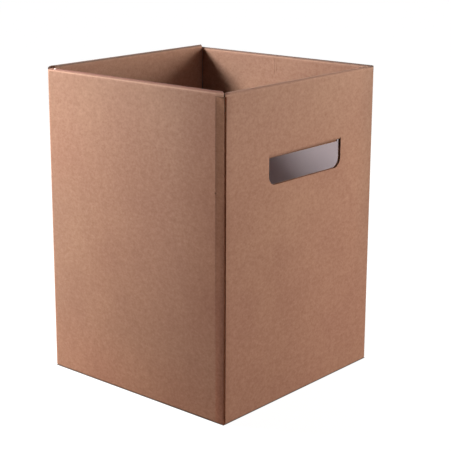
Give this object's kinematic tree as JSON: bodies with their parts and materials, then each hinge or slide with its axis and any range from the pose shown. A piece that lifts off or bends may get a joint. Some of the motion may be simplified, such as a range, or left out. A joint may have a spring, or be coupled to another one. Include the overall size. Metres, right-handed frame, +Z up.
{
  "type": "flower box",
  "caption": "Square upright box folded from kraft corrugated board, with a rolled hem rim, pushed-in hand holes in facing walls and a snap-lock base.",
  "frame": {"origin": "on the floor, under the middle of the box", "axes": "+Z up, the wall with the glued seam at its left edge faces -Y, and both hand holes are in the -Y and +Y walls"},
  "size_m": [0.18, 0.18, 0.2442],
  "materials": {
    "kraft_board": "matte"
  },
  "bodies": {
    "box": {"folded_box": "kraft_board"},
    "front_flap": {"front_hand_flap": "kraft_board"},
    "back_flap": {"back_hand_flap": "kraft_board"}
  },
  "joints": [
    {"name": "front_flap_crease", "type": "hinge", "parent": "box", "child": "front_flap", "pos_m": [0.00275, -0.0874, 0.18814], "axis": [1, 0, 0], "range_deg": [-161.9, 0]},
    {"name": "back_flap_crease", "type": "hinge", "parent": "box", "child": "back_flap", "pos_m": [-0.00275, 0.0874, 0.18814], "axis": [-1, 0, 0], "range_deg": [-166.4, 0]}
  ]
}
